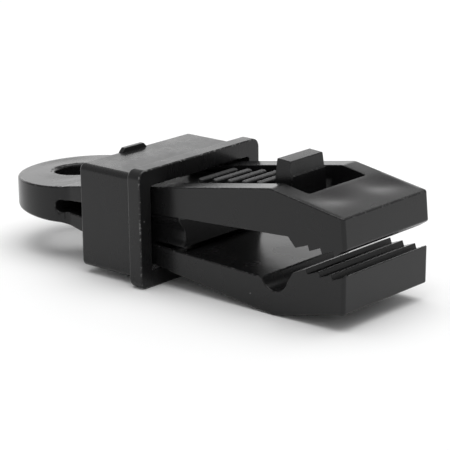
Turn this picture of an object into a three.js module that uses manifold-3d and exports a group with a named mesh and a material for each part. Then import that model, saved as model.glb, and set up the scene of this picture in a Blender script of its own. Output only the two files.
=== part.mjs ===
// Jaw clamp with a sliding locking collar, for gripping the edge of a sheet.
// Millimetres, +Z up, +X from the rope eye towards the jaws. The clamp rests on
// its collar lip and the belly of its lower jaw, and its origin is on that
// surface, under the middle of its outer box.
//
// The real clamp is two plastic mouldings: the body and the collar. The body
// bends at three thin necks, so it is built here as members with a narrow gap
// at each neck: the tail ring, two jaws and a springy tongue with ratchet ribs.

import * as THREE from 'three';
import { mergeVertices } from 'three/addons/utils/BufferGeometryUtils.js';
import Module from 'manifold-3d';

const wasm = await Module();
wasm.setup();

// ---- Driving dimensions. Heights are measured from the clamp's mid plane. ----

const MID_PLANE_Z = 12.1;        // mid plane above the surface that it rests on
const MEMBER_GAP = 0.3;          // gap between members that touch
const FAR = 20;                  // beyond the clamp's side, top and bottom
const SPARE = 1;                 // how far a cutting solid runs past what it cuts
const WELD_DISTANCE = 1e-4;      // points nearer than this are one point

// Facets of round stretches
const RING_FACETS = 48;
const EYE_FACETS = 36;
const SLOT_FACETS = 24;
const CORNER_FACETS = 6;

// Tail ring with the rope eye
const RING_RADIUS = 14.9;
const RING_X = -32.1;
const EYE_RADIUS = 5.15;
const EYE_X = -34.9;
const RING_REAR_TOP = 2.75;
const RING_BOTTOM = -3.7;

// Necks, where the jaws bend on the ring
const NECK_X = -26.5;
const NECK_TOP = 3.75;
const NECK_BOTTOM = -3.9;
const SLOT_RADIUS = 1.3;
const SLOT_Z = -0.35;
const SLOT_TOP = 0.8;
const SLOT_BOTTOM = -1.45;

// Jaws
const JAW_HALF_WIDTH = 13.07;
const NOSE_X = 47.0;
const KINK_X = 29.1;
const UPPER_KINK_TOP = 12.87;
const UPPER_NOSE_TOP = 9.9;
const UPPER_NOSE_BOTTOM = 4.05;
const UPPER_NOSE_RAKE = 0.5;
const UPPER_PALATE_END = [33.45, 4.2];
const LOWER_NOSE_TOP = [46.75, -0.95];
const LOWER_NOSE_BOTTOM = [46.6, -8.55];
const BELLY_FRONT_X = 29.5;
const BELLY_REAR = [6.7, -9.25];
const LOWER_ROOT_X = -22;
const LOWER_ROOT_TOP = -1.8;
const LOWER_ROOT_BOTTOM = -4.95;
const LOWER_FLOOR_REAR = [0.7, -4.0];

// Saw teeth of both jaws
const TOOTH_PITCH = 2.98;
const UPPER_TOOTH_DEPTH = 1.05;
const LOWER_TOOTH_DEPTH = 0.95;
const TOOTH_BACK_RUN = 0.35;
const UPPER_FIRST_TIP = [35.15, 2.4];
const LOWER_FIRST_TIP = [37.7, -1.2];
const TEETH = 3;

// Half-round groove across the lower jaw, behind its teeth
const GROOVE_X = 29.95;
const GROOVE_Z = -3.95;
const GROOVE_RADIUS = 3.2;
const GROOVE_START = 1.1 * Math.PI;
const GROOVE_END = 1.93 * Math.PI;
const GROOVE_STEPS = 12;
const GROOVE_LIP = [34.2, -2.8];

// Window in the upper jaw, with the tongue in it
const WINDOW_HALF_WIDTH = 8.7;
const WINDOW_REAR_X = -16.0;
const WINDOW_FRONT_X = 35.0;

// Ratchet tongue
const TONGUE_HALF_WIDTH = 6.1;
const TONGUE_FRONT_X = 28.1;
const TONGUE_BLOCK_X = 23.7;
const TONGUE_HAUNCH = 2;
const TONGUE_BLOCK_BOTTOM = 5.0;
const TONGUE_BLOCK_TOP = 12.85;
const RIB_CREST_SLOPE = 0.125;
const RIB_CREST_AT_ZERO = 8.32;
const RIB_DEPTH = 1.0;
const RIB_WIDTH = 1.3;
const RIB_FLANK = 0.2;
const RIB_PITCH = 3.8;
const RIB_LAST_X = 19.8;
const RIBS = 5;
const LEAF_THICKNESS = 2.2;

// Thumb tab on the tongue
const TAB_HALF_WIDTH = 4.87;
const TAB_TOP = 16.23;
const TAB_REAR_X = 24.1;
const TAB_FRONT_X = 27.3;
const TAB_DRAFT = 0.4;

// Guide lug of the upper jaw and its pocket in the lower jaw
const LUG_REAR_X = -6.0;
const LUG_FRONT_X = 6.0;
const LUG_HALF_WIDTH = 11.95;
const LUG_TOP = 1.6;
const LUG_BOTTOM = -3.4;
const POCKET_CLEARANCE = 0.6;
const POCKET_HALF_WIDTH = 12.3;
const POCKET_FLOOR = -6.1;

// Locking collar
const COLLAR_REAR_X = -18.0;
const COLLAR_HALF_WIDTH = 16.55;
const COLLAR_HALF_HEIGHT = 10.7;
const COLLAR_CORNER = 1.3;
const LIP_HALF_WIDTH = 18.0;
const LIP_CORNER = 1.8;
const LIP_THICKNESS = 3.0;
const LIP_FOOT = 1.1;
const BORE_HALF_WIDTH = 14.73;
const BORE_HALF_HEIGHT = 8.64;
const BORE_TAPER_X = -8.0;
const BORE_REAR_HALF_HEIGHT = 6.75;
const PAWL_REAR_X = -1.7;
const PAWL_LENGTH = 1.1;
const PAWL_FLAT = 0.3;
const PAWL_HALF_WIDTH = 5.4;
const PAWL_DEPTH = 0.3;
const ROOT_DEPTH = 0.5;          // how deep the pawl and grip rib start in the collar's wall
const GRIP_RIB = { rear: -18.0, front: -16.9, near: -5.2, far: 2.2, top: 11.6, taper: 0.9 };

// ---- Materials: one satin black plastic, a shade apart for each moulding ----

function blackPlastic(color, roughness) {
  return new THREE.MeshStandardMaterial({ color, roughness, metalness: 0 });
}

const BODY_COLOR = 0x17171a;
const COLLAR_COLOR = 0x1a1a1c;
const TONGUE_COLOR = 0x151517;
const BODY_ROUGHNESS = 0.42;
const COLLAR_ROUGHNESS = 0.5;

// ---- Solids ----

function solidOf(geometry) {
  const bare = geometry.clone();
  bare.deleteAttribute('normal');
  bare.deleteAttribute('uv');
  const merged = mergeVertices(bare, WELD_DISTANCE);
  const vertProperties = new Float32Array(merged.attributes.position.array);
  const triVerts = new Uint32Array(merged.index.array);
  return new wasm.Manifold(new wasm.Mesh({ numProp: 3, vertProperties, triVerts }));
}

function geometryOf(solid) {
  const cut = solid.getMesh();
  const geometry = new THREE.BufferGeometry();
  geometry.setAttribute('position', new THREE.BufferAttribute(cut.vertProperties, 3));
  geometry.setIndex(new THREE.BufferAttribute(cut.triVerts, 1));
  geometry.computeVertexNormals();
  return geometry;
}

function shapeOf(points) {
  return new THREE.Shape(points.map(([x, y]) => new THREE.Vector2(x, y)));
}

// A side outline, points [x, z], carried across from y = near to y = far.
function sideSolid(points, near, far) {
  const geometry = new THREE.ExtrudeGeometry(shapeOf(points), { depth: far - near, bevelEnabled: false });
  geometry.rotateX(Math.PI / 2);
  geometry.translate(0, far, 0);
  return solidOf(geometry);
}

// A plan shape carried up from z = low to z = high.
function planSolid(shape, low, high, curveSegments) {
  const geometry = new THREE.ExtrudeGeometry(shape, {
    depth: high - low,
    bevelEnabled: false,
    curveSegments,
  });
  geometry.translate(0, 0, low);
  return solidOf(geometry);
}

// A cross-section shape, its x along Y and its y along Z, carried from x = rear to x = front.
function sectionSolid(shape, rear, front) {
  const geometry = new THREE.ExtrudeGeometry(shape, {
    depth: front - rear,
    bevelEnabled: false,
    curveSegments: CORNER_FACETS,
  });
  const across = new THREE.Vector3(0, 1, 0);
  const upward = new THREE.Vector3(0, 0, 1);
  const forward = new THREE.Vector3(1, 0, 0);
  geometry.applyMatrix4(new THREE.Matrix4().makeBasis(across, upward, forward));
  geometry.translate(rear, 0, 0);
  return solidOf(geometry);
}

function roundedRectangle(halfWidth, halfHeight, corner) {
  const shape = new THREE.Shape();
  shape.moveTo(-halfWidth + corner, -halfHeight);
  shape.lineTo(halfWidth - corner, -halfHeight);
  shape.absarc(halfWidth - corner, -halfHeight + corner, corner, -Math.PI / 2, 0);
  shape.lineTo(halfWidth, halfHeight - corner);
  shape.absarc(halfWidth - corner, halfHeight - corner, corner, 0, Math.PI / 2);
  shape.lineTo(-halfWidth + corner, halfHeight);
  shape.absarc(-halfWidth + corner, halfHeight - corner, corner, Math.PI / 2, Math.PI);
  shape.lineTo(-halfWidth, -halfHeight + corner);
  shape.absarc(-halfWidth + corner, -halfHeight + corner, corner, Math.PI, 1.5 * Math.PI);
  return shape;
}

// The cylinder that ends the slot between the jaws.
function slotEnd() {
  const geometry = new THREE.CylinderGeometry(SLOT_RADIUS, SLOT_RADIUS, 2 * FAR, SLOT_FACETS);
  geometry.translate(NECK_X, 0, SLOT_Z);
  return solidOf(geometry);
}

// The body's plan: a round tail running into the straight sides of the jaws.
function bodyPlan() {
  const kinkAngle = Math.asin(JAW_HALF_WIDTH / RING_RADIUS);
  const kinkX = RING_X + RING_RADIUS * Math.cos(kinkAngle);
  const beyond = NOSE_X + SPARE;
  const shape = new THREE.Shape();
  shape.moveTo(beyond, -JAW_HALF_WIDTH);
  shape.lineTo(kinkX, -JAW_HALF_WIDTH);
  shape.absarc(RING_X, 0, RING_RADIUS, -kinkAngle, kinkAngle, true);
  shape.lineTo(beyond, JAW_HALF_WIDTH);
  return planSolid(shape, -FAR, FAR, RING_FACETS);
}

// ---- Members ----

const plan = bodyPlan();
const slot = slotEnd();

function tailRing() {
  const front = NECK_X - MEMBER_GAP / 2;
  const rear = RING_X - RING_RADIUS - SPARE;
  const side = [
    [rear, RING_BOTTOM],
    [front, RING_BOTTOM],
    [front, NECK_TOP],
    [rear, RING_REAR_TOP],
  ];
  const eye = new THREE.Shape();
  eye.absarc(EYE_X, 0, EYE_RADIUS, 0, 2 * Math.PI);
  const eyeCut = planSolid(eye, -FAR, FAR, EYE_FACETS);
  const mouth = sideSolid([
    [NECK_X, SLOT_BOTTOM],
    [front + SPARE, SLOT_BOTTOM],
    [front + SPARE, SLOT_TOP],
    [NECK_X, SLOT_TOP],
  ], -FAR, FAR);
  return plan.intersect(sideSolid(side, -FAR, FAR)).subtract(eyeCut).subtract(slot).subtract(mouth);
}

// Upper teeth, from the rear: each hangs to a tip and ramps up towards the nose.
function upperToothLine() {
  const points = [UPPER_FIRST_TIP];
  const [firstX, tipZ] = UPPER_FIRST_TIP;
  for (let tooth = 1; tooth <= TEETH; tooth += 1) {
    const tipX = firstX + tooth * TOOTH_PITCH + TOOTH_BACK_RUN;
    points.push([tipX - TOOTH_BACK_RUN, tipZ + UPPER_TOOTH_DEPTH]);
    points.push([tipX, tipZ]);
  }
  return points;
}

// Lower teeth, from the rear: each ramps up to a tip and drops behind the next.
function lowerToothLine() {
  const points = [];
  const [firstX, tipZ] = LOWER_FIRST_TIP;
  for (let tooth = 0; tooth < TEETH; tooth += 1) {
    const tipX = firstX + tooth * TOOTH_PITCH;
    points.push([tipX, tipZ]);
    points.push([tipX + TOOTH_BACK_RUN, tipZ - LOWER_TOOTH_DEPTH]);
  }
  return points;
}

function grooveLine() {
  const points = [];
  for (let step = 0; step <= GROOVE_STEPS; step += 1) {
    const angle = GROOVE_START + ((GROOVE_END - GROOVE_START) * step) / GROOVE_STEPS;
    const x = GROOVE_X + GROOVE_RADIUS * Math.cos(angle);
    const z = GROOVE_Z + GROOVE_RADIUS * Math.sin(angle);
    points.push([x, z]);
  }
  return points;
}

function upperJaw() {
  const rear = NECK_X + MEMBER_GAP / 2;
  const side = [
    [rear, SLOT_TOP],
    UPPER_PALATE_END,
    ...upperToothLine(),
    [NOSE_X, UPPER_NOSE_BOTTOM],
    [NOSE_X - UPPER_NOSE_RAKE, UPPER_NOSE_TOP],
    [KINK_X, UPPER_KINK_TOP],
    [rear, NECK_TOP],
  ];
  const window = sideSolid([
    [WINDOW_REAR_X, -FAR],
    [WINDOW_FRONT_X, -FAR],
    [WINDOW_FRONT_X, FAR],
    [WINDOW_REAR_X, FAR],
  ], -WINDOW_HALF_WIDTH, WINDOW_HALF_WIDTH);
  return plan.intersect(sideSolid(side, -FAR, FAR)).subtract(window).subtract(slot);
}

function lowerJaw() {
  const rear = NECK_X + MEMBER_GAP / 2;
  const side = [
    [rear, NECK_BOTTOM],
    [LOWER_ROOT_X, LOWER_ROOT_BOTTOM],
    BELLY_REAR,
    [BELLY_FRONT_X, -MID_PLANE_Z],
    LOWER_NOSE_BOTTOM,
    LOWER_NOSE_TOP,
    ...lowerToothLine().reverse(),
    GROOVE_LIP,
    ...grooveLine().reverse(),
    LOWER_FLOOR_REAR,
    [LOWER_ROOT_X, LOWER_ROOT_TOP],
    [rear, SLOT_BOTTOM],
  ];
  const pocket = sideSolid([
    [LUG_REAR_X - POCKET_CLEARANCE, POCKET_FLOOR],
    [LUG_FRONT_X + POCKET_CLEARANCE, POCKET_FLOOR],
    [LUG_FRONT_X + POCKET_CLEARANCE, 0],
    [LUG_REAR_X - POCKET_CLEARANCE, 0],
  ], -POCKET_HALF_WIDTH, POCKET_HALF_WIDTH);
  return plan.intersect(sideSolid(side, -FAR, FAR)).subtract(pocket).subtract(slot);
}

function guideLug() {
  const side = [
    [LUG_REAR_X, LUG_BOTTOM],
    [LUG_FRONT_X, LUG_BOTTOM],
    [LUG_FRONT_X, LUG_TOP],
    [LUG_REAR_X, LUG_TOP],
  ];
  return sideSolid(side, -LUG_HALF_WIDTH, LUG_HALF_WIDTH);
}

function crestZ(x) {
  return RIB_CREST_AT_ZERO + RIB_CREST_SLOPE * x;
}

// The tongue: a leaf with cross ribs, ending in a deep block under the thumb tab.
function ratchetTongue() {
  const rear = WINDOW_REAR_X + MEMBER_GAP;
  const leafBottom = RIB_DEPTH + LEAF_THICKNESS;
  const side = [
    [rear, crestZ(rear) - leafBottom],
    [TONGUE_BLOCK_X - TONGUE_HAUNCH, crestZ(TONGUE_BLOCK_X - TONGUE_HAUNCH) - leafBottom],
    [TONGUE_BLOCK_X, TONGUE_BLOCK_BOTTOM],
    [TONGUE_FRONT_X, TONGUE_BLOCK_BOTTOM],
    [TONGUE_FRONT_X, TONGUE_BLOCK_TOP],
    [TONGUE_BLOCK_X, TONGUE_BLOCK_TOP],
    [TONGUE_BLOCK_X, crestZ(TONGUE_BLOCK_X) - RIB_DEPTH],
  ];
  for (let rib = 0; rib < RIBS; rib += 1) {
    const x = RIB_LAST_X - rib * RIB_PITCH;
    const top = RIB_WIDTH / 2;
    const root = top + RIB_FLANK;
    side.push([x + root, crestZ(x + root) - RIB_DEPTH]);
    side.push([x + top, crestZ(x + top)]);
    side.push([x - top, crestZ(x - top)]);
    side.push([x - root, crestZ(x - root) - RIB_DEPTH]);
  }
  side.push([rear, crestZ(rear) - RIB_DEPTH]);
  return sideSolid(side, -TONGUE_HALF_WIDTH, TONGUE_HALF_WIDTH);
}

function thumbTab() {
  const bottom = TONGUE_BLOCK_TOP + MEMBER_GAP;
  const side = [
    [TAB_REAR_X - TAB_DRAFT, bottom],
    [TAB_FRONT_X + TAB_DRAFT, bottom],
    [TAB_FRONT_X, TAB_TOP],
    [TAB_REAR_X, TAB_TOP],
  ];
  return sideSolid(side, -TAB_HALF_WIDTH, TAB_HALF_WIDTH);
}

function lockingCollar() {
  const sleeve = roundedRectangle(COLLAR_HALF_WIDTH, COLLAR_HALF_HEIGHT, COLLAR_CORNER);
  const lip = roundedRectangle(LIP_HALF_WIDTH, MID_PLANE_Z, LIP_CORNER);
  const foot = roundedRectangle(
    (LIP_HALF_WIDTH + COLLAR_HALF_WIDTH) / 2,
    (MID_PLANE_Z + COLLAR_HALF_HEIGHT) / 2,
    LIP_CORNER,
  );
  // The bore narrows towards the tail, as the arms do.
  const taper = (BORE_HALF_HEIGHT - BORE_REAR_HALF_HEIGHT) / (BORE_TAPER_X - COLLAR_REAR_X);
  const boreEnd = BORE_REAR_HALF_HEIGHT - taper * SPARE;
  const bore = sideSolid([
    [COLLAR_REAR_X - SPARE, -boreEnd],
    [BORE_TAPER_X, -BORE_HALF_HEIGHT],
    [SPARE, -BORE_HALF_HEIGHT],
    [SPARE, BORE_HALF_HEIGHT],
    [BORE_TAPER_X, BORE_HALF_HEIGHT],
    [COLLAR_REAR_X - SPARE, boreEnd],
  ], -BORE_HALF_WIDTH, BORE_HALF_WIDTH);
  const pawlTop = BORE_HALF_HEIGHT + ROOT_DEPTH;
  const pawlBottom = BORE_HALF_HEIGHT - PAWL_DEPTH;
  const pawl = sideSolid([
    [PAWL_REAR_X, pawlTop],
    [PAWL_REAR_X, BORE_HALF_HEIGHT],
    [PAWL_REAR_X + PAWL_LENGTH - PAWL_FLAT, pawlBottom],
    [PAWL_REAR_X + PAWL_LENGTH, pawlBottom],
    [PAWL_REAR_X + PAWL_LENGTH, pawlTop],
  ], -PAWL_HALF_WIDTH, PAWL_HALF_WIDTH);
  const gripRib = sectionSolid(shapeOf([
    [GRIP_RIB.near, COLLAR_HALF_HEIGHT - ROOT_DEPTH],
    [GRIP_RIB.far, COLLAR_HALF_HEIGHT - ROOT_DEPTH],
    [GRIP_RIB.far - GRIP_RIB.taper, GRIP_RIB.top],
    [GRIP_RIB.near + GRIP_RIB.taper, GRIP_RIB.top],
  ]), GRIP_RIB.rear, GRIP_RIB.front);
  return sectionSolid(sleeve, COLLAR_REAR_X, 0)
    .add(sectionSolid(lip, -LIP_THICKNESS, 0))
    .add(sectionSolid(foot, -LIP_THICKNESS - LIP_FOOT, 0))
    .subtract(bore)
    .add(pawl)
    .add(gripRib);
}

// ---- The clamp ----

function member(name, solid, material) {
  const mesh = new THREE.Mesh(geometryOf(solid), material);
  mesh.name = name;
  return mesh;
}

const clamp = new THREE.Group();
clamp.position.z = MID_PLANE_Z;
clamp.add(
  member('tail_ring', tailRing(), blackPlastic(BODY_COLOR, BODY_ROUGHNESS)),
  member('upper_jaw', upperJaw(), blackPlastic(BODY_COLOR, BODY_ROUGHNESS)),
  member('guide_lug', guideLug(), blackPlastic(BODY_COLOR, BODY_ROUGHNESS)),
  member('lower_jaw', lowerJaw(), blackPlastic(BODY_COLOR, BODY_ROUGHNESS)),
  member('ratchet_tongue', ratchetTongue(), blackPlastic(TONGUE_COLOR, BODY_ROUGHNESS)),
  member('thumb_tab', thumbTab(), blackPlastic(TONGUE_COLOR, BODY_ROUGHNESS)),
  member('locking_collar', lockingCollar(), blackPlastic(COLLAR_COLOR, COLLAR_ROUGHNESS)),
);

export default clamp;
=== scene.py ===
"""Looks for the sliding-collar jaw clamp: two satin black mouldings on a pale floor.

The CAD nodes are members of those mouldings, parted where the plastic bends.
Here the body is one rounded moulding again, split along the middle of its tail
into an upper and a lower half, and the tongue and collar are built anew.

Sizes are in millimetres and angles in degrees, unless a comment says otherwise.
Heights are measured from MID_Z, the level of the collar's middle.
"""

import math

import bmesh
import bpy
from mathutils import Matrix, Vector


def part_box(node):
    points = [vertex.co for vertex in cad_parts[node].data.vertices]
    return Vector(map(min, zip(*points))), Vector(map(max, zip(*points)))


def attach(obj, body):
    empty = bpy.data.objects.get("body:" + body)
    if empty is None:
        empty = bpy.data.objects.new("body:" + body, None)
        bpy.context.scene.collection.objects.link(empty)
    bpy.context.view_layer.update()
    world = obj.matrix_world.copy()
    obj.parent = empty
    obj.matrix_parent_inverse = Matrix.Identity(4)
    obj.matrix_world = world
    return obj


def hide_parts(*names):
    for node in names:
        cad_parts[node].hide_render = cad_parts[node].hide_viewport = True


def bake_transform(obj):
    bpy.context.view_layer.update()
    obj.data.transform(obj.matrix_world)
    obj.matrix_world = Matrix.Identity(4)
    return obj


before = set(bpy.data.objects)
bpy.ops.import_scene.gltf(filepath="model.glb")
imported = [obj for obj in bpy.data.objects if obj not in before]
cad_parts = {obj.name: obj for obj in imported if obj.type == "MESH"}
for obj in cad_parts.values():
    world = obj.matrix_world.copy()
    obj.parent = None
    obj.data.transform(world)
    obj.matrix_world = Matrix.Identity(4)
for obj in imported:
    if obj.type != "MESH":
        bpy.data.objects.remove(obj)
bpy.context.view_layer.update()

MM = 0.001

# ---- Places taken from the frame ----


def node_box(node):
    """The node's lowest and highest corners, in millimetres."""
    low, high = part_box(node)
    return low / MM, high / MM


RING_LOW, RING_HIGH = node_box("tail_ring")
LUG_LOW, LUG_HIGH = node_box("guide_lug")
COLLAR_LOW, COLLAR_HIGH = node_box("locking_collar")

MID_Z = COLLAR_HIGH.z / 2
NOSE_X = node_box("upper_jaw")[1].x
TAB_TOP = node_box("thumb_tab")[1].z - MID_Z
RING_REAR = RING_LOW.x
RING_RADIUS = RING_HIGH.y
RING_X = RING_REAR + RING_RADIUS

# ---- Small tools for outlines and solids ----

CLEANING_WELD = 0.002
FLAT_WITHIN = 0.2
PINHOLE_WELD = 0.001
PINHOLE_SIDES = 6


def ease(t):
    """Rises smoothly from 0 to 1 as t does."""
    t = min(1.0, max(0.0, t))
    return t * t * (3 - 2 * t)


def beyond(start, end, x):
    """The height at x on the line from start through end."""
    return start[1] + (end[1] - start[1]) * (x - start[0]) / (end[0] - start[0])


def arc(centre_x, centre_y, radius, start, end, step=8.0):
    """Points along an arc from angle start to angle end."""
    count = max(2, math.ceil(abs(end - start) / step))
    points = []
    for i in range(count + 1):
        angle = math.radians(start + (end - start) * i / count)
        points.append((centre_x + radius * math.cos(angle), centre_y + radius * math.sin(angle)))
    return points


def rounded_corners(half_x, half_y, radius, step):
    """Four quarter arcs round the corners (half_x, half_y) and their mirror images."""
    points = []
    for x, y, start in (
        (half_x, half_y, 0), (-half_x, half_y, 90),
        (-half_x, -half_y, 180), (half_x, -half_y, 270),
    ):
        points += arc(x, y, radius, start, start + 90, step)
    return points


def new_object(name, mesh):
    obj = bpy.data.objects.new(name, mesh)
    bpy.context.scene.collection.objects.link(obj)
    return obj


def loft(name, loops, closed=False):
    """A solid through loops of points; closed joins the last loop to the first."""
    bm = bmesh.new()
    rings = [[bm.verts.new(Vector(p) * MM) for p in loop] for loop in loops]
    count = len(rings[0])
    pairs = list(zip(rings, rings[1:]))
    if closed:
        pairs.append((rings[-1], rings[0]))
    for a, b in pairs:
        for i in range(count):
            j = (i + 1) % count
            bm.faces.new((a[i], a[j], b[j], b[i]))
    if not closed:
        bm.faces.new(list(reversed(rings[0])))
        bm.faces.new(rings[-1])
    bmesh.ops.recalc_face_normals(bm, faces=bm.faces)
    mesh = bpy.data.meshes.new(name)
    bm.to_mesh(mesh)
    bm.free()
    return new_object(name, mesh)


def side_prism(name, outline, near, far):
    """A side outline of (x, height), carried across from y near to y far."""
    return loft(name, [[(x, y, z + MID_Z) for x, z in outline] for y in (near, far)])


def plan_prism(name, outline, low, high):
    """A plan outline of (x, y), carried up from height low to height high."""
    return loft(name, [[(x, y, z + MID_Z) for x, y in outline] for z in (low, high)])


def box_prism(name, low, high):
    """A box between two opposite corners (x, y, height)."""
    outline = [(low[0], low[1]), (high[0], low[1]), (high[0], high[1]), (low[0], high[1])]
    return plan_prism(name, outline, low[2], high[2])


def baked(obj):
    """Swaps the object's mesh for the one its modifiers make."""
    depsgraph = bpy.context.evaluated_depsgraph_get()
    mesh = bpy.data.meshes.new_from_object(obj.evaluated_get(depsgraph))
    obj.modifiers.clear()
    obj.data = mesh
    return obj


def combine(obj, other, operation):
    """Cuts obj with other, or joins other to it, and removes other."""
    modifier = obj.modifiers.new("combine", "BOOLEAN")
    modifier.operation = operation
    modifier.object = other
    modifier.solver = "EXACT"
    bpy.context.view_layer.update()
    baked(obj)
    bpy.data.objects.remove(other)
    return obj


def cleaned(obj):
    """Welds doubled points and joins flat faces that a cut left in pieces."""
    flat = math.radians(FLAT_WITHIN)
    bm = bmesh.new()
    bm.from_mesh(obj.data)
    bmesh.ops.remove_doubles(bm, verts=bm.verts, dist=CLEANING_WELD * MM)
    bmesh.ops.dissolve_limit(bm, angle_limit=flat, verts=bm.verts, edges=bm.edges)
    bmesh.ops.recalc_face_normals(bm, faces=bm.faces)
    bm.to_mesh(obj.data)
    bm.free()
    return obj


def closed_up(obj):
    """Fills the pinholes that rounding can leave where three solids meet."""
    bm = bmesh.new()
    bm.from_mesh(obj.data)
    bmesh.ops.remove_doubles(bm, verts=bm.verts, dist=PINHOLE_WELD * MM)
    bmesh.ops.holes_fill(bm, edges=[e for e in bm.edges if e.is_boundary], sides=PINHOLE_SIDES)
    bm.to_mesh(obj.data)
    bm.free()
    return obj


def mark_wear_and_highlight(mesh, marks):
    """Keeps, face by face, which places are greyed, partly as wear and partly as painted highlight."""
    mark = mesh.attributes.get("wear_and_highlight") or mesh.attributes.new("wear_and_highlight", "FLOAT", "FACE")
    for face, wear_and_highlight in enumerate(marks):
        mark.data[face].value = float(wear_and_highlight)
        mesh.polygons[face].material_index = 0


def rounded(obj, radius_of, widest, segments=3):
    """Rounds each edge by the radius that radius_of(edge) gives, at most widest.

    The new faces are marked for greying, partly as wear from handling and partly as a painted highlight on
    the edges.
    """
    obj.data.materials.clear()
    obj.data.materials.append(None)
    obj.data.materials.append(None)
    bm = bmesh.new()
    bm.from_mesh(obj.data)
    weights = bm.edges.layers.float.get("bevel_weight_edge")
    if weights is None:
        weights = bm.edges.layers.float.new("bevel_weight_edge")
    for edge in bm.edges:
        radius = radius_of(edge) if len(edge.link_faces) == 2 else 0.0
        edge[weights] = min(1.0, radius / widest)
    for face in bm.faces:
        face.smooth = True
        face.material_index = 0
    bm.to_mesh(obj.data)
    bm.free()
    modifier = obj.modifiers.new("round", "BEVEL")
    modifier.material = 1
    modifier.limit_method = "WEIGHT"
    modifier.width = widest * MM
    modifier.segments = segments
    modifier.use_clamp_overlap = False
    modifier.harden_normals = True
    bpy.context.view_layer.update()
    baked(obj)
    # Marks the rounding faces for the edge grey: partly wear, partly a painted highlight.
    mark_wear_and_highlight(obj.data, [face.material_index == 1 for face in obj.data.polygons])
    return obj


def edge_angle(edge):
    """How far the surface turns at the edge; 0 is flat."""
    return math.degrees(edge.calc_face_angle(0.0))


def shaded(obj, sharp_above=40.0):
    """Smooth shading that keeps flat faces flat and leaves real corners sharp."""
    bm = bmesh.new()
    bm.from_mesh(obj.data)
    for face in bm.faces:
        face.smooth = True
    for edge in bm.edges:
        edge.smooth = edge_angle(edge) < sharp_above
    bm.to_mesh(obj.data)
    bm.free()
    modifier = obj.modifiers.new("normals", "WEIGHTED_NORMAL")
    modifier.mode = "FACE_AREA"
    modifier.weight = 90
    modifier.keep_sharp = True
    bpy.context.view_layer.update()
    return baked(obj)


# ---- Materials ----

PLASTIC_IOR = 1.37
MOTTLE = 0.04
TINT_LOW = (0.8, 0.8, 0.85)
TINT_HIGH = (1.3, 1.3, 1.33)
DUST_GREY = 0.22
DUST_RADIUS = 0.045
DUST_SHARE = 0.1
DRAG_SQUEEZE = (1, 1, 0.06)
PLAIN = (1, 1, 1)

# Noise scales, from the broadest to the finest; the specks of dust have their own.
CLOUD_SCALE = 90.0
WAVE_SCALE = 160.0
DRAG_SCALE = 900.0
WEAR_AND_HIGHLIGHT_SCALE = 1300.0
GRAIN_SCALE = 2600.0
DUST_SCALE = 330.0

# The part of a noise's range that carries its whole contrast.
NOISE_RANGE = (0.3, 0.7)
WEAR_AND_HIGHLIGHT_RANGE = (0.52, 0.68)

# Strength and depth of each bump.
GRAIN_BUMP = (0.12, 0.02)
WAVE_BUMP = (0.5, 0.05)

# The sockets of a Mix node that hold colours.
MIX_FACTOR, MIX_UNDER, MIX_OVER, MIX_COLOR = 0, 6, 7, 2


def grey(value, tint=PLAIN):
    return tuple(value * part for part in tint) + (1,)


def feed(links, socket, value):
    """Links value to the socket, or sets it there if it is a plain number or colour."""
    if isinstance(value, bpy.types.NodeSocket):
        links.new(value, socket)
    else:
        socket.default_value = value


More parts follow.
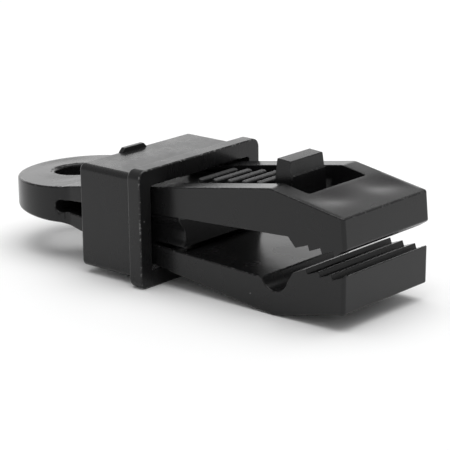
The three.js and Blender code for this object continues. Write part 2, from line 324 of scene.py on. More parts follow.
def satin_plastic(name, shade, roughness, drag, wear_and_highlight_grey):
    """Black moulded plastic: grain, faint waves in the gloss, upright drag marks, dust, and greyed edges
    that are partly wear and partly painted highlight.
    """
    material = bpy.data.materials.new(name)
    material.use_nodes = True
    nodes, links = material.node_tree.nodes, material.node_tree.links
    shader = nodes["Principled BSDF"]
    shader.inputs["IOR"].default_value = PLASTIC_IOR
    place = nodes.new("ShaderNodeTexCoord").outputs["Object"]

    def noise(scale, detail, squeeze=PLAIN):
        stretched = nodes.new("ShaderNodeMapping")
        stretched.inputs["Scale"].default_value = squeeze
        links.new(place, stretched.inputs["Vector"])
        node = nodes.new("ShaderNodeTexNoise")
        node.inputs["Scale"].default_value = scale
        node.inputs["Detail"].default_value = detail
        links.new(stretched.outputs["Vector"], node.inputs["Vector"])
        return node.outputs["Fac"]

    def spread(value, start, end, part=NOISE_RANGE):
        """Carries the part of value's range over to the range from start to end."""
        node = nodes.new("ShaderNodeMapRange")
        node.inputs["From Min"].default_value = part[0]
        node.inputs["From Max"].default_value = part[1]
        node.inputs["To Min"].default_value = start
        node.inputs["To Max"].default_value = end
        links.new(value, node.inputs["Value"])
        return node.outputs["Result"]

    def reckoned(operation, first, second):
        node = nodes.new("ShaderNodeMath")
        node.operation = operation
        links.new(first, node.inputs[0])
        feed(links, node.inputs[1], second)
        return node.outputs[0]

    def mixed(amount, under, over):
        """The colour over, laid on under by amount."""
        node = nodes.new("ShaderNodeMix")
        node.data_type = "RGBA"
        links.new(amount, node.inputs[MIX_FACTOR])
        feed(links, node.inputs[MIX_UNDER], under)
        feed(links, node.inputs[MIX_OVER], over)
        return node.outputs[MIX_COLOR]

    def bumped(height, strength_and_depth, under=None):
        node = nodes.new("ShaderNodeBump")
        node.inputs["Strength"].default_value = strength_and_depth[0]
        node.inputs["Distance"].default_value = strength_and_depth[1] * MM
        links.new(height, node.inputs["Height"])
        if under:
            links.new(under, node.inputs["Normal"])
        return node.outputs["Normal"]

    cloudy = noise(CLOUD_SCALE, 3.0)
    tint = mixed(cloudy, grey(shade, TINT_LOW), grey(shade, TINT_HIGH))

    specks = nodes.new("ShaderNodeTexVoronoi")
    specks.inputs["Scale"].default_value = DUST_SCALE
    links.new(place, specks.inputs["Vector"])
    chosen = nodes.new("ShaderNodeSeparateColor")
    links.new(specks.outputs["Color"], chosen.inputs[0])
    near = reckoned("LESS_THAN", specks.outputs["Distance"], DUST_RADIUS)
    few = reckoned("GREATER_THAN", chosen.outputs[0], 1 - DUST_SHARE)
    dusted = mixed(reckoned("MULTIPLY", near, few), tint, grey(DUST_GREY))

    # Marked edge faces are greyed in patches: partly wear, partly a painted highlight standing in for
    # bright edge reflections.
    mark = nodes.new("ShaderNodeAttribute")
    mark.attribute_name = "wear_and_highlight"
    patchy_wear_and_highlight = spread(noise(WEAR_AND_HIGHLIGHT_SCALE, 2.0), 0.0, 1.0, WEAR_AND_HIGHLIGHT_RANGE)
    wear_and_highlight = mixed(reckoned("MULTIPLY", mark.outputs["Fac"], patchy_wear_and_highlight), dusted, grey(wear_and_highlight_grey))
    links.new(wear_and_highlight, shader.inputs["Base Color"])

    mottled = spread(cloudy, roughness - MOTTLE, roughness + MOTTLE)
    dragged = spread(noise(DRAG_SCALE, 2.0, DRAG_SQUEEZE), -drag, drag)
    links.new(reckoned("ADD", mottled, dragged), shader.inputs["Roughness"])

    grain = bumped(noise(GRAIN_SCALE, 2.0), GRAIN_BUMP)
    waves = bumped(noise(WAVE_SCALE, 1.0), WAVE_BUMP, grain)
    links.new(waves, shader.inputs["Normal"])
    return material


# The edge grey is partly wear and partly painted highlight; the collar's lighter grey paints the bright
# line along its lip edge.
BODY_PLASTIC = satin_plastic("body_plastic", shade=0.0075, roughness=0.25, drag=0.0, wear_and_highlight_grey=0.035)
COLLAR_PLASTIC = satin_plastic("collar_plastic", shade=0.009, roughness=0.28, drag=0.02, wear_and_highlight_grey=0.14)


def dressed(obj, material):
    obj.data.materials.clear()
    obj.data.materials.append(material)
    return obj


# ---- The body: one moulding, rounded, then parted along the middle of its tail ----

# Plan: half width of the jaws, the hollow where the ring meets them, and the nose's corners.
JAW_HALF = 13.07
WAIST_FILLET = 3.0
NOSE_CORNER = 0.75
RING_STEP = 4.0

# The eye, the slot between the necks, and the angles at which the arms leave the slot.
EYE_X = -34.9
EYE_RADIUS = 5.15
EYE_STEP = 5.0
NECK_X = -26.5
SLOT_Z = -0.35
SLOT_RADIUS = 1.3
SLOT_ABOVE = 64.5
SLOT_BELOW = 299

# Heights of the top and underside, just behind the ring and at the necks.
RING_TOP = 2.7
NECK_TOP = 3.75
RING_BOTTOM = -3.5
NECK_BOTTOM = -3.9

# The upper arm's kink over the bite, and the end of its underside behind the teeth.
KINK = (29.1, 12.87)
BITE_REAR = (33.45, 4.2)

# The lower arm's root, the front of its sloping floor, its belly, and the cross groove.
LOWER_ROOT_X = -22
LOWER_ROOT_TOP = -1.8
LOWER_ROOT_BOTTOM = -4.95
FLOOR_FRONT = (0.7, -4.0)
BELLY_REAR = (6.7, -9.25)
BELLY_X = 29.5
GROOVE_X = 29.95
GROOVE_Z = -3.95
GROOVE_RADIUS = 3.2
GROOVE_START = 198
GROOVE_END = 347
GROOVE_LIP = (34.2, -2.8)

# The noses, which lean back above and below the bite.
UPPER_NOSE_TOP = 9.9
UPPER_NOSE_BOTTOM = 4.05
LOWER_NOSE_TOP = -0.95
LOWER_NOSE_BOTTOM = -8.55
UPPER_RAKE = 0.5
LOWER_RAKE = (0.25, 0.4)
BITE_MARGIN = 1.0

# The saw teeth, and how far each steep face leans.
TEETH = 3
TOOTH_PITCH = 2.98
TOOTH_LEAN = 0.35
UPPER_TEETH_X = 35.15
UPPER_TIP = 2.4
UPPER_VALLEY = 3.45
LOWER_TEETH_X = 37.7
LOWER_TIP = -1.2
LOWER_VALLEY = -2.15

# The window for the tongue: centres of its rounded corners, and the height it is cut down to.
WINDOW_FRONT = 34.4
WINDOW_REAR = -15.4
WINDOW_HALF = 8.1
WINDOW_CORNER = 0.6
WINDOW_STEP = 30
WINDOW_FLOOR = 0.3

# The guide lug, from where it leaves the arm down to its foot, and its pocket in the lower arm.
LUG_ROOT = 2.62
LUG_BURIED = 0.8
LUG_WAIST = 11.5
LUG_FLARE = 12.1
LUG_DRAW_START = LUG_ROOT - 0.2
LUG_DRAW_LENGTH = 2.9
LUG_FLARE_START = -2.1
LUG_FLARE_LENGTH = 1.1
LUG_FRONT_ROUND = 0.16
LUG_LEVELS = 21
LUG_LEVEL = 0.3
POCKET_GAP = 0.6
POCKET_HALF = 12.45
POCKET_FLOOR = -6.1
POCKET_TOP = -2.0

# The room round the lug that stays with the upper half when the body is parted.
LUG_ROOM_GAP = 0.3
LUG_ROOM_HALF = 12.28
LUG_ROOM_FLOOR = -3.55
LUG_ROOM_TOP = 2.0

# Cuts across the necks, all clear of the outline's own corners.
BEND_CUTS = (-27.8, -27.2, -26.7, -25.9, -25.35)

# How far blanks and cutting tools run past what they make.
PAST_END = 1
BLANK_HALF = 20
TOOL_REACH = 16
HALF_SPACE = (60, 30, 30)


def body_plan(nose):
    """The ring flows into the straight sides through a hollow fillet."""
    away = JAW_HALF + WAIST_FILLET
    join = math.degrees(math.asin(away / (RING_RADIUS + WAIST_FILLET)))
    fillet_x = RING_X + (RING_RADIUS + WAIST_FILLET) * math.cos(math.radians(join))
    corner = nose - NOSE_CORNER
    side = JAW_HALF - NOSE_CORNER
    points = arc(corner, side, NOSE_CORNER, 0, 90)
    points += arc(fillet_x, away, WAIST_FILLET, 270, 180 + join)[:-1]
    points += arc(RING_X, 0, RING_RADIUS, join, 360 - join, RING_STEP)
    points += arc(fillet_x, -away, WAIST_FILLET, 180 - join, 90)[1:]
    points += arc(corner, -side, NOSE_CORNER, 270, 360)
    return points


def upper_nose(height):
    slope = UPPER_RAKE / (UPPER_NOSE_TOP - UPPER_NOSE_BOTTOM)
    return NOSE_X - slope * (height - UPPER_NOSE_BOTTOM)


def lower_nose(height):
    slope = (LOWER_RAKE[1] - LOWER_RAKE[0]) / (LOWER_NOSE_TOP - LOWER_NOSE_BOTTOM)
    return NOSE_X - LOWER_RAKE[0] + slope * (height - LOWER_NOSE_TOP)


def raked_plan():
    """The plan outline carried upwards, its nose leaning back above and below the bite."""
    levels = [(z, lower_nose(z)) for z in (-TOOL_REACH, LOWER_NOSE_TOP + BITE_MARGIN)]
    levels += [(z, upper_nose(z)) for z in (UPPER_NOSE_BOTTOM - BITE_MARGIN, TOOL_REACH)]
    return loft("plan_tool", [[(x, y, z + MID_Z) for x, y in body_plan(nose)] for z, nose in levels])


def upper_teeth():
    """From the rear: each tooth hangs to a tip and ramps up towards the nose."""
    points = [(UPPER_TEETH_X, UPPER_TIP)]
    for tooth in range(1, TEETH + 1):
        tip = UPPER_TEETH_X + tooth * TOOTH_PITCH + TOOTH_LEAN
        points += [(tip - TOOTH_LEAN, UPPER_VALLEY), (tip, UPPER_TIP)]
    return points


def lower_teeth():
    """From the rear: each tooth ramps up to a tip and drops behind the next."""
    points = []
    for tooth in range(TEETH):
        tip = LOWER_TEETH_X + tooth * TOOTH_PITCH
        points += [(tip, LOWER_TIP), (tip + TOOTH_LEAN, LOWER_VALLEY)]
    return points


def body_side():
    """The side outline, from the ring's top over the jaws and back through the slot to its foot."""
    rear = RING_REAR - PAST_END
    nose = NOSE_X + PAST_END
    upper = [(rear, RING_TOP), (NECK_X, NECK_TOP), KINK]
    upper += [(nose, beyond(KINK, (NOSE_X - UPPER_RAKE, UPPER_NOSE_TOP), nose))]
    teeth = upper_teeth()
    upper += [(nose, beyond(teeth[-1], (NOSE_X, UPPER_NOSE_BOTTOM), nose))]
    upper += list(reversed(teeth)) + [BITE_REAR]
    slot = arc(NECK_X, SLOT_Z, SLOT_RADIUS, SLOT_ABOVE, SLOT_BELOW)
    lower = [(LOWER_ROOT_X, LOWER_ROOT_TOP), FLOOR_FRONT]
    lower += arc(GROOVE_X, GROOVE_Z, GROOVE_RADIUS, GROOVE_START, GROOVE_END) + [GROOVE_LIP]
    teeth = lower_teeth()
    lower += teeth + [(nose, beyond(teeth[-1], (NOSE_X - LOWER_RAKE[0], LOWER_NOSE_TOP), nose))]
    belly_front = (BELLY_X, -MID_Z)
    belly = [(nose, beyond(belly_front, (NOSE_X - LOWER_RAKE[1], LOWER_NOSE_BOTTOM), nose))]
    belly += [belly_front, BELLY_REAR, (LOWER_ROOT_X, LOWER_ROOT_BOTTOM)]
    belly += [(NECK_X, NECK_BOTTOM), (rear, RING_BOTTOM)]
    return upper + slot + lower + belly


def lug_half_width(height):
    """The lug's sides leave the jaw's sides, draw in to a waist and flare again at the foot."""
    drawn_in = (JAW_HALF - LUG_WAIST) * ease((LUG_DRAW_START - height) / LUG_DRAW_LENGTH)
    flare = (LUG_FLARE - LUG_WAIST) * ease((LUG_FLARE_START - height) / LUG_FLARE_LENGTH)
    return JAW_HALF - drawn_in + flare


def lug_solid():
    """The lug, with rounded front edges."""
    front = LUG_HIGH.x
    stations = [(LUG_LOW.x, 0.0)]
    for angle in range(0, 91, 30):
        x = front - LUG_FRONT_ROUND * (1 - math.sin(math.radians(angle)))
        stations.append((x, LUG_FRONT_ROUND * (1 - math.cos(math.radians(angle)))))
    heights = [LUG_ROOT + LUG_BURIED] + [LUG_ROOT - LUG_LEVEL * step for step in range(LUG_LEVELS)]
    loops = []
    for x, pulled in stations:
        half = [(lug_half_width(z) - pulled, z) for z in heights]
        loop = [(x, y, z + MID_Z) for y, z in half]
        loop += [(x, -y, z + MID_Z) for y, z in reversed(half)]
        loops.append(loop)
    return loft("lug_tool", loops)


def lug_box(name, gap, half_width, low, high):
    """A box about the lug, longer than it by gap at each end."""
    return box_prism(name, (LUG_LOW.x - gap, -half_width, low), (LUG_HIGH.x + gap, half_width, high))


def window_plan():
    points = []
    for x, y, start in (
        (WINDOW_FRONT, WINDOW_HALF, 0), (WINDOW_REAR, WINDOW_HALF, 90),
        (WINDOW_REAR, -WINDOW_HALF, 180), (WINDOW_FRONT, -WINDOW_HALF, 270),
    ):
        points += arc(x, y, WINDOW_CORNER, start, start + 90, WINDOW_STEP)
    return points


def body_moulding():
    body = side_prism("clamp_body", body_side(), -BLANK_HALF, BLANK_HALF)
    eye = arc(EYE_X, 0, EYE_RADIUS, 0, 360 - EYE_STEP, EYE_STEP)
    pocket = lug_box("pocket_tool", POCKET_GAP, POCKET_HALF, POCKET_FLOOR, POCKET_TOP)
    combine(body, raked_plan(), "INTERSECT")
    combine(body, plan_prism("eye_tool", eye, -TOOL_REACH, TOOL_REACH), "DIFFERENCE")
    combine(body, plan_prism("window_tool", window_plan(), WINDOW_FLOOR, TOOL_REACH), "DIFFERENCE")
    combine(body, pocket, "DIFFERENCE")
    combine(body, lug_solid(), "UNION")
    return cleaned(body)


# ---- Rounding the body ----

WIDEST_ROUND = 0.9
EDGE_ROUND = 0.3
RING_TOP_EXTRA = 0.15
RING_FOOT_EXTRA = 0.6
RING_EXTRA_START = 2.5
RING_EXTRA_LENGTH = 7
EYE_ROUND = 0.7
BEND_ROUND = 0.5
WINDOW_ROUND = 0.18
LUG_EDGE_ROUND = 0.14
TOOTH_ROUND = 0.1

# Angles below which an edge stays as it is, is part of a curve, or is a bend; above CORNER it is a corner.
FACET_ACROSS = 10.0
FACET = 16.0
CURVE = 20
BEND = 30
CORNER = 60

# The region of the teeth, and of the lug and its pocket.
BITE_START_X = 33.2
BITE_HEIGHTS = (-3.2, 4.4)
BITE_NOSE_GAP = 0.6
LUG_ZONE_GAP = 1
LUG_ZONE_FLOOR = -7
LUG_ZONE_ABOVE = 0.6

# The window's edges lie at least this far in from the jaw's side and nose.
WINDOW_SIDE_GAP = 0.5
WINDOW_NOSE_GAP = 1.5


def on_circle(across, along, radius):
    """Whether a point, given from a circle's centre, lies on the circle."""
    return abs(math.hypot(across, along) - radius) < 0.1


def body_radius(edge):
    """How much each edge of the body is rounded."""
    angle = edge_angle(edge)
    a, b = edge.verts[0].co / MM, edge.verts[1].co / MM
    middle = (a + b) / 2
    height = middle.z - MID_Z
    across = abs((b - a).normalized().y) > 0.99
    if angle < (FACET_ACROSS if across else FACET):
        return 0.0
    in_slot = on_circle(middle.x - NECK_X, height - SLOT_Z, SLOT_RADIUS)
    in_groove = on_circle(middle.x - GROOVE_X, height - GROOVE_Z, GROOVE_RADIUS)
    if across and angle < CURVE and (in_slot or in_groove):
        return 0.0
    beside_lug = LUG_LOW.x - LUG_ZONE_GAP < middle.x < LUG_HIGH.x + LUG_ZONE_GAP
    if beside_lug and LUG_ZONE_FLOOR < height < LUG_ROOT + LUG_ZONE_ABOVE:
        on_side = abs(abs(middle.y) - JAW_HALF) < 0.02
        return LUG_EDGE_ROUND if on_side and angle > CORNER else 0.0
    if on_circle(middle.x - EYE_X, middle.y, EYE_RADIUS) and angle > CORNER:
        return EYE_ROUND
    in_bite = BITE_START_X < middle.x < NOSE_X - BITE_NOSE_GAP
    if in_bite and BITE_HEIGHTS[0] < height < BITE_HEIGHTS[1]:
        return TOOTH_ROUND
    if across and angle < BEND:
        return BEND_ROUND
    if middle.x < NECK_X:
        rear = ease((NECK_X - RING_EXTRA_START - middle.x) / RING_EXTRA_LENGTH)
        return EDGE_ROUND + (RING_FOOT_EXTRA if height < 0 else RING_TOP_EXTRA) * rear
    inside = abs(middle.y) < JAW_HALF - WINDOW_SIDE_GAP and middle.x < NOSE_X - WINDOW_NOSE_GAP
    if height > UPPER_NOSE_BOTTOM and inside:
        return WINDOW_ROUND
    return EDGE_ROUND


# ---- Parting the body, and the sink marks in its top ----

BEND_TOLERANCE = 1e-7
PRESS_TOLERANCE = 1e-6
SAME_FACING = 0.9999

# Two sink marks (x, y) in front of the window, their size, and how they fade out at the edges.
JAW_SINKS = ((38.6, -5.8), (39.6, 7.6))
SINK_DEPTH = 0.3
SINK_LENGTH = 3.0
SINK_WIDTH = 4.5
SINK_REAR = 34.6
SINK_REAR_FADE = 1.5
SINK_FRONT = 46.0
SINK_FRONT_FADE = 2.5
SINK_SIDE = 12.4
SINK_SIDE_FADE = 2.0
JAW_PRESS_HALF = 12

# The dish round the eye: radius, width and depth, how uneven it is, and its fades.
DISH_RADIUS = 9.0
DISH_WIDTH = 2.0
DISH_DEPTH = 0.15
DISH_UNEVEN = 0.3
DISH_TURN_RADIANS = 0.8
DISH_FRONT = -28.5
DISH_FRONT_FADE = 2.0
DISH_RIM = 0.9
DISH_RIM_FADE = 1.2
DISH_EYE = 0.8
DISH_EYE_FADE = 0.8
RING_PRESS_HALF = 14


def above_parting():
    """Everything that belongs to the upper half: all above the slot's middle, and the lug."""
    x, y, z = HALF_SPACE
    tool = box_prism("upper_side", (-x, -y, SLOT_Z), (x, y, z))
    lug_room = lug_box("lug_room", LUG_ROOM_GAP, LUG_ROOM_HALF, LUG_ROOM_FLOOR, LUG_ROOM_TOP)
    return combine(tool, lug_room, "UNION")


def parted(body, name, operation):
    """One half of the body, with cuts across its neck, where the real moulding flexes."""
    half = new_object(name, body.data.copy())
    combine(half, above_parting(), operation)
    bm = bmesh.new()
    bm.from_mesh(half.data)
    for x in BEND_CUTS:
        bmesh.ops.bisect_plane(
            bm, geom=bm.verts[:] + bm.edges[:] + bm.faces[:], dist=BEND_TOLERANCE,
            plane_co=(x * MM, 0, 0), plane_no=(1, 0, 0),
        )
    bm.to_mesh(half.data)
    bm.free()
    return half


def jaw_sink(x, y):
    """The depth at (x, y) of the two shallow sink marks in the jaw's top."""
    margin = ease((x - SINK_REAR) / SINK_REAR_FADE)
    margin *= ease((SINK_FRONT - x) / SINK_FRONT_FADE)
    margin *= ease((SINK_SIDE - abs(y)) / SINK_SIDE_FADE)
    marks = 0.0
    for mark_x, mark_y in JAW_SINKS:
        marks += math.exp(-((x - mark_x) / SINK_LENGTH) ** 2 - ((y - mark_y) / SINK_WIDTH) ** 2)
    return SINK_DEPTH * margin * marks


def ring_sink(x, y):
    """The depth at (x, y) of the uneven dish that runs round the eye, in the ring's top."""
    from_eye = math.hypot(x - EYE_X, y)
    from_rim = RING_RADIUS - math.hypot(x - RING_X, y)
    turned = 2 * math.atan2(y, x - EYE_X) + DISH_TURN_RADIANS
    uneven = 1 - DISH_UNEVEN + DISH_UNEVEN * math.cos(turned)
    margin = ease((DISH_FRONT - x) / DISH_FRONT_FADE)
    margin *= ease((from_rim - DISH_RIM) / DISH_RIM_FADE)
    margin *= ease((from_eye - EYE_RADIUS - DISH_EYE) / DISH_EYE_FADE)
    return DISH_DEPTH * uneven * margin * math.exp(-((from_eye - DISH_RADIUS) / DISH_WIDTH) ** 2)


def pressed(half, start, end, reach, depth_of):
    """Presses shallow marks into the flat top between start and end, points of its side profile.

    The top is first cut into 1 mm squares, out to reach on both sides.
    """
    slope = (start[1] - end[1]) / (end[0] - start[0])
    upward = Vector((slope, 0, 1)).normalized()
    bm = bmesh.new()
    bm.from_mesh(half.data)
    bm.normal_update()

    def top_faces():
        found = []
        for face in bm.faces:
            middle = face.calc_center_median().x / MM
            if face.normal.dot(upward) > SAME_FACING and start[0] < middle < end[0]:
                found.append(face)
        return found

    cuts = [((x * MM, 0, 0), (1, 0, 0)) for x in range(math.ceil(start[0]), math.ceil(end[0]))]
    cuts += [((0, y * MM, 0), (0, 1, 0)) for y in range(-reach, reach + 1)]
    for place, normal in cuts:
        faces = top_faces()
        edges = list({e for f in faces for e in f.edges})
        verts = list({v for f in faces for v in f.verts})
        bmesh.ops.bisect_plane(
            bm, geom=verts + edges + faces, dist=PRESS_TOLERANCE, plane_co=place, plane_no=normal,
        )
        bm.normal_update()
    for vertex in {v for f in top_faces() for v in f.verts}:
        vertex.co.z -= depth_of(vertex.co.x / MM, vertex.co.y / MM) * MM
    bm.to_mesh(half.data)
    bm.free()
    return half


# ---- Making the body ----

JAW_TOP_END = (NOSE_X - UPPER_RAKE, UPPER_NOSE_TOP)
JAW_TOP_START = (SINK_REAR, beyond(KINK, JAW_TOP_END, SINK_REAR))
RING_TOP_START = (RING_REAR - PAST_END, RING_TOP)
RING_TOP_END = (NECK_X, NECK_TOP)

moulding = rounded(body_moulding(), body_radius, WIDEST_ROUND)
upper_half = parted(moulding, "upper_body", "INTERSECT")
pressed(upper_half, JAW_TOP_START, JAW_TOP_END, JAW_PRESS_HALF, jaw_sink)
pressed(upper_half, RING_TOP_START, RING_TOP_END, RING_PRESS_HALF, ring_sink)
shaded(closed_up(upper_half))
lower_half = shaded(closed_up(parted(moulding, "lower_body", "DIFFERENCE")))
dressed(upper_half, BODY_PLASTIC)
dressed(lower_half, BODY_PLASTIC)
bpy.data.objects.remove(moulding)

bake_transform(upper_half)
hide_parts("tail_ring", "upper_jaw", "guide_lug")
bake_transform(lower_half)
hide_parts("lower_jaw")

# ---- The tongue, its ratchet ribs and the thumb tab ----

# The leaf under the ribs; crest() is the line along the ribs' tops.
LEAF_REAR = -17.0
LEAF_FRONT = 24.7
LEAF_HALF = 5.9
LEAF_THICKNESS = 1.8
CREST_AT_ZERO = 8.32
CREST_SLOPE = 0.125

RIBS = 5
LAST_RIB_X = 19.8
RIB_PITCH = 3.8
RIB_WIDTH = 1.3
RIB_HALF_LENGTH = 5.5
RIB_DEPTH = 1.2
RIB_BURIED = 0.8
RIB_LEAN = 0.15
RIB_STEP = 22.5

# Height, rear and front of the post at its foot, under and over the step on its front, and at its top.
TAB_STEP = 13.25
POST_SECTIONS = (
    (5.0, 23.5, 28.1),
    (TAB_STEP - 0.08, 23.75, 27.85),
    (TAB_STEP, 23.75, 27.68),
    (TAB_TOP, 24.05, 27.4),
)
TAB_HALF = 4.9
TAB_DRAFT = 0.06
TAB_TOP_FALL = 0.22

# Rounding, and the places where one radius gives way to the next.
TONGUE_WIDEST_ROUND = 0.4
RIB_ROUND = 0.26
LEAF_ROUND = 0.1
TAB_TOP_ROUND = 0.22
TAB_ROUND = 0.2
BLOCK_ROUND = 0.12
TONGUE_FACET = 25
BLOCK_REAR = 22.5
RIB_TOP_DEPTH = 0.4
TAB_TOP_DEPTH = 0.1
TAB_FOOT = 13.5


def crest(x):
    return CREST_AT_ZERO + CREST_SLOPE * x


def post_solid():
    """The deep block with the thumb tab on it, one drafted post with a step on its front."""
    loops = []
    for z, rear, front in POST_SECTIONS:
        half = TAB_HALF + TAB_DRAFT * (TAB_TOP - z)
        drop = TAB_TOP_FALL if z == TAB_TOP else 0.0
        corners = ((rear, -half, 0), (front, -half, drop), (front, half, drop), (rear, half, 0))
        loops.append([(x, y, z - fall + MID_Z) for x, y, fall in corners])
    return loft("post_tool", loops)


def rib_solid(x):
    """One rib across the leaf, round at both ends, its top leaning down towards the nose."""
    half = RIB_WIDTH / 2
    end = RIB_HALF_LENGTH - half
    outline = arc(x, end, half, 0, 180, RIB_STEP) + arc(x, -end, half, 180, 360, RIB_STEP)
    rib = plan_prism("rib_tool", outline, 0, 1)
    for vertex in rib.data.vertices:
        ahead = vertex.co.x / MM - x
        raised = vertex.co.z / MM > MID_Z + 0.5
        height = crest(x) - RIB_LEAN * ahead if raised else crest(x) - RIB_DEPTH - RIB_BURIED
        vertex.co.z = (height + MID_Z) * MM
    return rib


def tongue_solid():
    leaf = [
        (LEAF_REAR, crest(LEAF_REAR) - RIB_DEPTH - LEAF_THICKNESS),
        (LEAF_FRONT, crest(LEAF_FRONT) - RIB_DEPTH - LEAF_THICKNESS),
        (LEAF_FRONT, crest(LEAF_FRONT) - RIB_DEPTH),
        (LEAF_REAR, crest(LEAF_REAR) - RIB_DEPTH),
    ]
    tongue = side_prism("tongue", leaf, -LEAF_HALF, LEAF_HALF)
    combine(tongue, post_solid(), "UNION")
    for rib in range(RIBS):
        combine(tongue, rib_solid(LAST_RIB_X - rib * RIB_PITCH), "UNION")
    return cleaned(tongue)


def tongue_radius(edge):
    """How much each edge of the tongue is rounded."""
    if edge_angle(edge) < TONGUE_FACET:
        return 0.0
    middle = (edge.verts[0].co + edge.verts[1].co) / 2 / MM
    height = middle.z - MID_Z
    if middle.x < BLOCK_REAR:
        return RIB_ROUND if height > crest(middle.x) - RIB_TOP_DEPTH else LEAF_ROUND
    if height > TAB_TOP - TAB_TOP_DEPTH:
        return TAB_TOP_ROUND
    return TAB_ROUND if height > TAB_FOOT else BLOCK_ROUND


tongue = shaded(rounded(tongue_solid(), tongue_radius, TONGUE_WIDEST_ROUND))
dressed(tongue, BODY_PLASTIC)
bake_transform(tongue)
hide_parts("ratchet_tongue", "thumb_tab")

# ---- The locking collar ----

COLLAR_REAR = COLLAR_LOW.x
SLEEVE_HALF_WIDTH = 16.55
SLEEVE_HALF_HEIGHT = 10.7
SLEEVE_CORNER = 1.3
SLEEVE_ROUND = 0.6
LIP_HALF_WIDTH = COLLAR_HIGH.y
LIP_HALF_HEIGHT = MID_Z
LIP_CORNER = 1.9
LIP_ROUND = 0.3
BORE_HALF_WIDTH = 14.73
BORE_HALF_HEIGHT = 8.64
BORE_CORNER = 0.6
BORE_TAPER_X = -8.0
BORE_REAR_HALF_HEIGHT = 6.8
MOUTH_ROUND = 0.3

# The hollow foot where the sleeve sweeps up to the lip, and the sharpest corner a loop keeps.
LIP_FOOT_X = -4.3
LIP_FOOT_ROUND = 0.75
SLEEVE_END_GAP = 0.4
LEAST_CORNER = 0.12

# Steps of the arcs round the corners, along the lip's profile, and at its front and the bore's ends.
CORNER_STEP = 11.25
PROFILE_STEP = 15
END_STEP = 30

# The pawl ridge, from its ramp's foot to its steep front face.
PAWL_REAR = -1.7
PAWL_CREST = (-0.95, -0.65)
PAWL_FRONT = -0.6
PAWL_DEPTH = 0.3
PAWL_BURIED = 0.4
PAWL_HALF = 5.4

# The grip rib on the rear top edge.
GRIP_SIDES = (-5.2, 2.2)
GRIP_FOOT = 10.0
GRIP_TOP = 11.6
GRIP_CHAMFER = 0.9
GRIP_LENGTH = 1.1
GRIP_ROUND = 0.16
GRIP_FACET = 20

LIP_EDGE_DEPTH = 0.4
LIP_EDGE_FRONT = -0.01
COLLAR_SHARP_ABOVE = 50.0


def collar_loop(x, inset, half_width, half_height, corner):
    """One rounded rectangle of the collar, drawn in by inset on every side."""
    corner = max(LEAST_CORNER, corner - inset)
    across = half_width - inset - corner
    upward = half_height - inset - corner
    points = rounded_corners(across, upward, corner, CORNER_STEP)
    return [(x, y, z + MID_Z) for y, z in points]


def collar_solid():
    """Loops from the rear along the sleeve, over the lip, and back through the bore."""
    sleeve = (SLEEVE_HALF_WIDTH, SLEEVE_HALF_HEIGHT, SLEEVE_CORNER)
    lip = (LIP_HALF_WIDTH, LIP_HALF_HEIGHT, LIP_CORNER)
    bore = (BORE_HALF_WIDTH, BORE_HALF_HEIGHT, BORE_CORNER)
    rear_bore = (BORE_HALF_WIDTH, BORE_REAR_HALF_HEIGHT, BORE_CORNER)
    rise = LIP_HALF_WIDTH - SLEEVE_HALF_WIDTH
    crown = rise - LIP_FOOT_ROUND
    crown_x = LIP_FOOT_X + LIP_FOOT_ROUND + crown
    loops = []
    for x, inset in arc(COLLAR_REAR + SLEEVE_ROUND, SLEEVE_ROUND, SLEEVE_ROUND, 180, 270, PROFILE_STEP):
        loops.append(collar_loop(x, inset, *sleeve))
    loops.append(collar_loop(LIP_FOOT_X - SLEEVE_END_GAP, 0, *sleeve))
    for x, out in arc(LIP_FOOT_X, LIP_FOOT_ROUND, LIP_FOOT_ROUND, 270, 360, PROFILE_STEP):
        loops.append(collar_loop(x, rise - out, *lip))
    for x, inset in arc(crown_x, crown, crown, 180, 270, PROFILE_STEP)[1:]:
        loops.append(collar_loop(x, inset, *lip))
    for x, inset in arc(-LIP_ROUND, LIP_ROUND, LIP_ROUND, 270, 360, END_STEP):
        loops.append(collar_loop(x, inset, *lip))
    for x, inset in arc(-MOUTH_ROUND, MOUTH_ROUND, MOUTH_ROUND, 0, 90, END_STEP):
        loops.append(collar_loop(x, inset - 2 * MOUTH_ROUND, *bore))
    loops.append(collar_loop(BORE_TAPER_X, 0, *bore))
    for x, inset in arc(COLLAR_REAR + MOUTH_ROUND, MOUTH_ROUND, MOUTH_ROUND, 90, 180, END_STEP):
        loops.append(collar_loop(x, inset - 2 * MOUTH_ROUND, *rear_bore))
    return loft("collar", loops, closed=True)


def pawl_solid():
    """The pawl ridge inside the top wall: a ramp at its rear and a steep front."""
    top, crest_height = BORE_HALF_HEIGHT + PAWL_BURIED, BORE_HALF_HEIGHT - PAWL_DEPTH
    outline = [(PAWL_REAR, top), (PAWL_REAR, BORE_HALF_HEIGHT)]
    outline += [(x, crest_height) for x in PAWL_CREST] + [(PAWL_FRONT, top)]
    return side_prism("pawl_tool", outline, -PAWL_HALF, PAWL_HALF)


def grip_rib_solid():
    left, right = GRIP_SIDES
    section = [
        (left, GRIP_FOOT), (right, GRIP_FOOT),
        (right, GRIP_TOP - GRIP_CHAMFER), (right - GRIP_CHAMFER, GRIP_TOP),
        (left + GRIP_CHAMFER, GRIP_TOP), (left, GRIP_TOP - GRIP_CHAMFER),
    ]
    ends = (COLLAR_REAR, COLLAR_REAR + GRIP_LENGTH)
    rib = loft("grip_tool", [[(x, y, z + MID_Z) for y, z in section] for x in ends])
    return rounded(rib, lambda edge: GRIP_ROUND if edge_angle(edge) > GRIP_FACET else 0.0, GRIP_ROUND, 2)


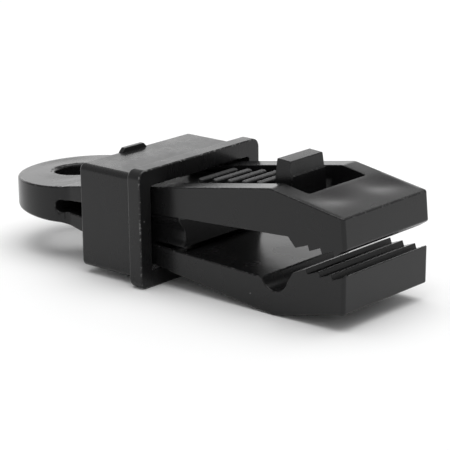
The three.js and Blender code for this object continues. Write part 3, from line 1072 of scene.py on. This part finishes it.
def on_lip_edge(place):
    """The lip's front edge, which rubs on everything that the clamp meets; its grey is partly that wear
    and partly a painted highlight.
    """
    beside = abs(place.y) > LIP_HALF_WIDTH - LIP_EDGE_DEPTH
    above_or_below = abs(place.z - MID_Z) > LIP_HALF_HEIGHT - LIP_EDGE_DEPTH
    return (beside or above_or_below) and -LIP_ROUND < place.x < LIP_EDGE_FRONT


collar = combine(combine(collar_solid(), pawl_solid(), "UNION"), grip_rib_solid(), "UNION")
# Greys the lip's front edge: partly wear, partly a painted highlight.
mark_wear_and_highlight(collar.data, [on_lip_edge(face.center / MM) for face in collar.data.polygons])
dressed(shaded(collar, COLLAR_SHARP_ABOVE), COLLAR_PLASTIC)
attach(collar, "collar")
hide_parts("locking_collar")

# ---- Floor, light and camera ----

# Metres.
FLOOR_REACH = 3.0
LIGHT_PLACE = (0.1, 0.1, 1.6)
LIGHT_SIZE = 1.8

LIGHT_WATTS = 23.5
FLOOR_GREY = 0.9
FLOOR_ROUGHNESS = 0.9

# Strength of the world's light near the horizon behind the clamp, in the backdrop, and elsewhere.
HORIZON = 1.3
BACKDROP = 2.85
CEILING = 0.5

# The side that the backdrop stands on, how squarely a ray must meet it, and the
# rise of a ray (the sine of its elevation) over which it brightens and fades.
BACKDROP_SIDE = (-0.55, 0.84, 0)
BACKDROP_SPREAD = (0.1, 0.75)
BACKDROP_RISE = (0.22, 0.28)
BACKDROP_FALL = (0.26, 0.385)

# The photograph's camera: its direction, its distance from AIM, and its lens.
AZIMUTH = 41.549
ELEVATION = 16.437
ROLL = 0.802
DISTANCE = 414.5
AIM = (3.973, 2.531, 9.588)
LENS = 164.17
SENSOR = 36
CLIP_START_M = 0.01


def make_floor():
    """A pale, dull floor."""
    mesh = bpy.data.meshes.new("floor")
    r = FLOOR_REACH
    mesh.from_pydata([(-r, -r, 0), (r, -r, 0), (r, r, 0), (-r, r, 0)], [], [(0, 1, 2, 3)])
    material = bpy.data.materials.new("pale_floor")
    material.use_nodes = True
    shader = material.node_tree.nodes["Principled BSDF"]
    shader.inputs["Base Color"].default_value = grey(FLOOR_GREY)
    shader.inputs["Roughness"].default_value = FLOOR_ROUGHNESS
    mesh.materials.append(material)
    new_object("floor", mesh)


def make_world():
    """An even studio: a bright backdrop low behind the clamp, softer light all round and above."""
    world = bpy.data.worlds.new("studio")
    world.use_nodes = True
    bpy.context.scene.world = world
    nodes, links = world.node_tree.nodes, world.node_tree.links
    ray = nodes.new("ShaderNodeTexCoord").outputs["Generated"]
    facing = nodes.new("ShaderNodeVectorMath")
    facing.operation = "DOT_PRODUCT"
    facing.inputs[1].default_value = BACKDROP_SIDE
    links.new(ray, facing.inputs[0])
    split = nodes.new("ShaderNodeSeparateXYZ")
    links.new(ray, split.inputs[0])
    steepness = split.outputs["Z"]

    def ramp(value, part, start, end):
        node = nodes.new("ShaderNodeMapRange")
        node.interpolation_type = "SMOOTHSTEP"
        node.inputs["From Min"].default_value = part[0]
        node.inputs["From Max"].default_value = part[1]
        node.inputs["To Min"].default_value = start
        node.inputs["To Max"].default_value = end
        links.new(value, node.inputs["Value"])
        return node.outputs["Result"]

    behind = ramp(facing.outputs["Value"], BACKDROP_SPREAD, 0.0, 1.0)
    rising = ramp(steepness, BACKDROP_RISE, HORIZON - CEILING, BACKDROP - CEILING)
    falling = ramp(steepness, BACKDROP_FALL, BACKDROP - CEILING, 0.0)
    backdrop = nodes.new("ShaderNodeMath")
    backdrop.operation = "MINIMUM"
    links.new(rising, backdrop.inputs[0])
    links.new(falling, backdrop.inputs[1])
    glow = nodes.new("ShaderNodeMath")
    glow.operation = "MULTIPLY_ADD"
    links.new(behind, glow.inputs[0])
    links.new(backdrop.outputs[0], glow.inputs[1])
    glow.inputs[2].default_value = CEILING
    background = nodes["Background"]
    background.inputs["Color"].default_value = grey(1)
    links.new(glow.outputs[0], background.inputs["Strength"])


def make_light():
    """One broad light overhead, aimed at the origin."""
    data = bpy.data.lights.new("overhead", "AREA")
    data.shape = "RECTANGLE"
    data.size = LIGHT_SIZE
    data.size_y = LIGHT_SIZE
    data.energy = LIGHT_WATTS
    light = new_object("overhead", data)
    light.location = LIGHT_PLACE
    light.rotation_euler = (-Vector(LIGHT_PLACE)).to_track_quat("-Z", "Y").to_euler()


def make_camera():
    """The photograph's viewpoint, turned by its small roll."""
    a, e, roll = (math.radians(v) for v in (AZIMUTH, ELEVATION, ROLL))
    back = Vector((math.sin(a) * math.cos(e), -math.cos(a) * math.cos(e), math.sin(e)))
    right = Vector((math.cos(a), math.sin(a), 0))
    up = back.cross(right)
    level = Matrix((right, up, back)).transposed()
    data = bpy.data.cameras.new("camera")
    data.lens = LENS
    data.sensor_width = SENSOR
    data.clip_start = CLIP_START_M
    camera = new_object("camera", data)
    turned = level.to_4x4() @ Matrix.Rotation(-roll, 4, "Z")
    camera.matrix_world = Matrix.Translation((Vector(AIM) + back * DISTANCE) * MM) @ turned
    bpy.context.scene.camera = camera


make_floor()
make_world()
make_light()
make_camera()
bpy.context.scene.view_settings.view_transform = "Standard"
